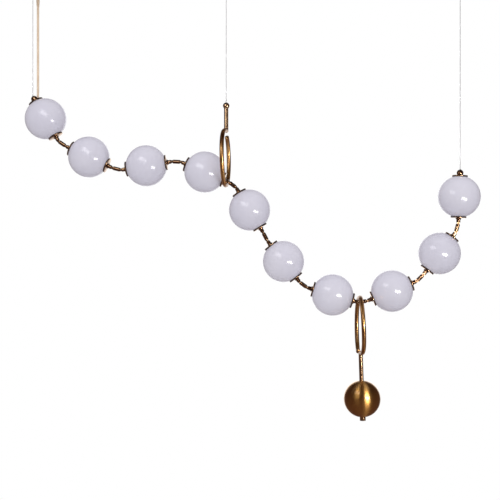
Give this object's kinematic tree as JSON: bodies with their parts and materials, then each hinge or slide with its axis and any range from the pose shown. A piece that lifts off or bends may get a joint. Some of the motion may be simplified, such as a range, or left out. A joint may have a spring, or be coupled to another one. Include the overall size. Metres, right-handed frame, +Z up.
{
  "type": "pendant lamp",
  "caption": "Suspended pendant lamp: a hanging chain of opal glass globes with brass links, held by thin wires and split rings, with a brass ball drop.",
  "frame": {"origin": "centre of the canopy plate's ceiling face; the lamp hangs below it", "axes": "+X along the chain of globes, from the canopy end to the far end; +Z up, out of the ceiling face; +Y towards the back"},
  "size_m": [1.3479, 0.1716, 1.2789],
  "materials": {
    "opal_glass": "glossy opal white glass, cased, 3 mm wall",
    "light_core": "plain LED carrier, tube, nuts and soft plugs",
    "antique_brass": "polished antique brass, lacquered",
    "brushed_brass": "antique brass brushed from pole to pole",
    "steel_wire": "thin stranded steel wire",
    "cord_fabric": "woven gold-tan textile sleeve over the power cord",
    "driver_case": "plain white moulded case",
    "zinc_plate": "plain galvanised plate"
  },
  "bodies": {
    "ceiling": {"canopy_cover": "antique_brass", "canopy_plate": "zinc_plate", "canopy_screws": "antique_brass", "led_driver": "driver_case", "cord_gland": "antique_brass", "left_wire_gripper": "antique_brass", "middle_ceiling_cup": "antique_brass", "right_ceiling_cup": "antique_brass"},
    "anchors": {"wire_anchors": "steel_wire"},
    "left_wire_body": {"left_wire": "steel_wire"},
    "middle_wire_body": {"middle_wire": "steel_wire"},
    "right_wire_body": {"right_wire": "steel_wire"},
    "power_cord_body": {"power_cord": "cord_fabric"},
    "lamp": {"upper_rod": "antique_brass", "upper_ring": "antique_brass", "left_wire_ball": "antique_brass", "globe_01_glass": "opal_glass", "globe_01_caps": "antique_brass", "globe_01_light": "light_core", "link_01": "antique_brass", "globe_02_glass": "opal_glass", "globe_02_caps": "antique_brass", "globe_02_light": "light_core", "link_02": "antique_brass", "globe_03_glass": "opal_glass", "globe_03_caps": "antique_brass", "globe_03_light": "light_core", "link_03": "antique_brass", "globe_04_glass": "opal_glass", "globe_04_caps": "antique_brass", "globe_04_light": "light_core", "link_04": "antique_brass", "globe_05_glass": "opal_glass", "globe_05_caps": "antique_brass", "globe_05_light": "light_core", "link_05": "antique_brass", "globe_06_glass": "opal_glass", "globe_06_caps": "antique_brass", "globe_06_light": "light_core", "link_06": "antique_brass", "globe_07_glass": "opal_glass", "globe_07_caps": "antique_brass", "globe_07_light": "light_core", "link_07": "antique_brass", "globe_08_glass": "opal_glass", "globe_08_caps": "antique_brass", "globe_08_light": "light_core", "link_08": "antique_brass", "globe_09_glass": "opal_glass", "globe_09_caps": "antique_brass", "globe_09_light": "light_core", "link_09": "antique_brass", "globe_10_glass": "opal_glass", "globe_10_caps": "antique_brass", "globe_10_light": "light_core", "right_wire_ball": "antique_brass"},
    "drop": {"drop_ring": "antique_brass", "drop_rod": "antique_brass", "drop_ball": "brushed_brass", "drop_finial": "antique_brass"}
  },
  "joints": [
    {"name": "lamp_swing", "type": "hinge", "parent": "ceiling", "child": "anchors", "pos_m": [0.562, 0, -0.047], "axis": [1, 0, 0], "range_deg": [-10, 10]},
    {"name": "lamp_sway", "type": "hinge", "parent": "anchors", "child": "middle_wire_body", "pos_m": [0.562, 0, -0.047], "axis": [0, 1, 0], "range_deg": [-4, 4]},
    {"name": "lamp_level", "type": "hinge", "parent": "middle_wire_body", "child": "lamp", "pos_m": [0.562, 0, -0.36475], "axis": [0, 1, 0], "range_deg": [-4, 4]},
    {"name": "left_wire_sway", "type": "hinge", "parent": "anchors", "child": "left_wire_body", "pos_m": [-0.0071, 0, -0.047], "axis": [0, 1, 0], "range_deg": [-4.4, 4.4]},
    {"name": "right_wire_sway", "type": "hinge", "parent": "anchors", "child": "right_wire_body", "pos_m": [1.23062, 0, -0.047], "axis": [0, 1, 0], "range_deg": [-2.5, 2.5]},
    {"name": "power_cord_sway", "type": "hinge", "parent": "anchors", "child": "power_cord_body", "pos_m": [0.0044, 0.0127, -0.047], "axis": [0, 1, 0], "range_deg": [-4.3, 4.3]},
    {"name": "drop_swing", "type": "hinge", "parent": "lamp", "child": "drop", "pos_m": [0.94914, 0, -0.93873], "axis": [0.9877, 0, 0.1564], "range_deg": [-20, 20]}
  ],
  "couplings": [
    {"joint": "lamp_level", "follows": "lamp_sway", "ratio": -1},
    {"joint": "left_wire_sway", "follows": "lamp_sway", "ratio": 1.0878},
    {"joint": "right_wire_sway", "follows": "lamp_sway", "ratio": 0.6182},
    {"joint": "power_cord_sway", "follows": "lamp_sway", "ratio": 1.0522}
  ]
}
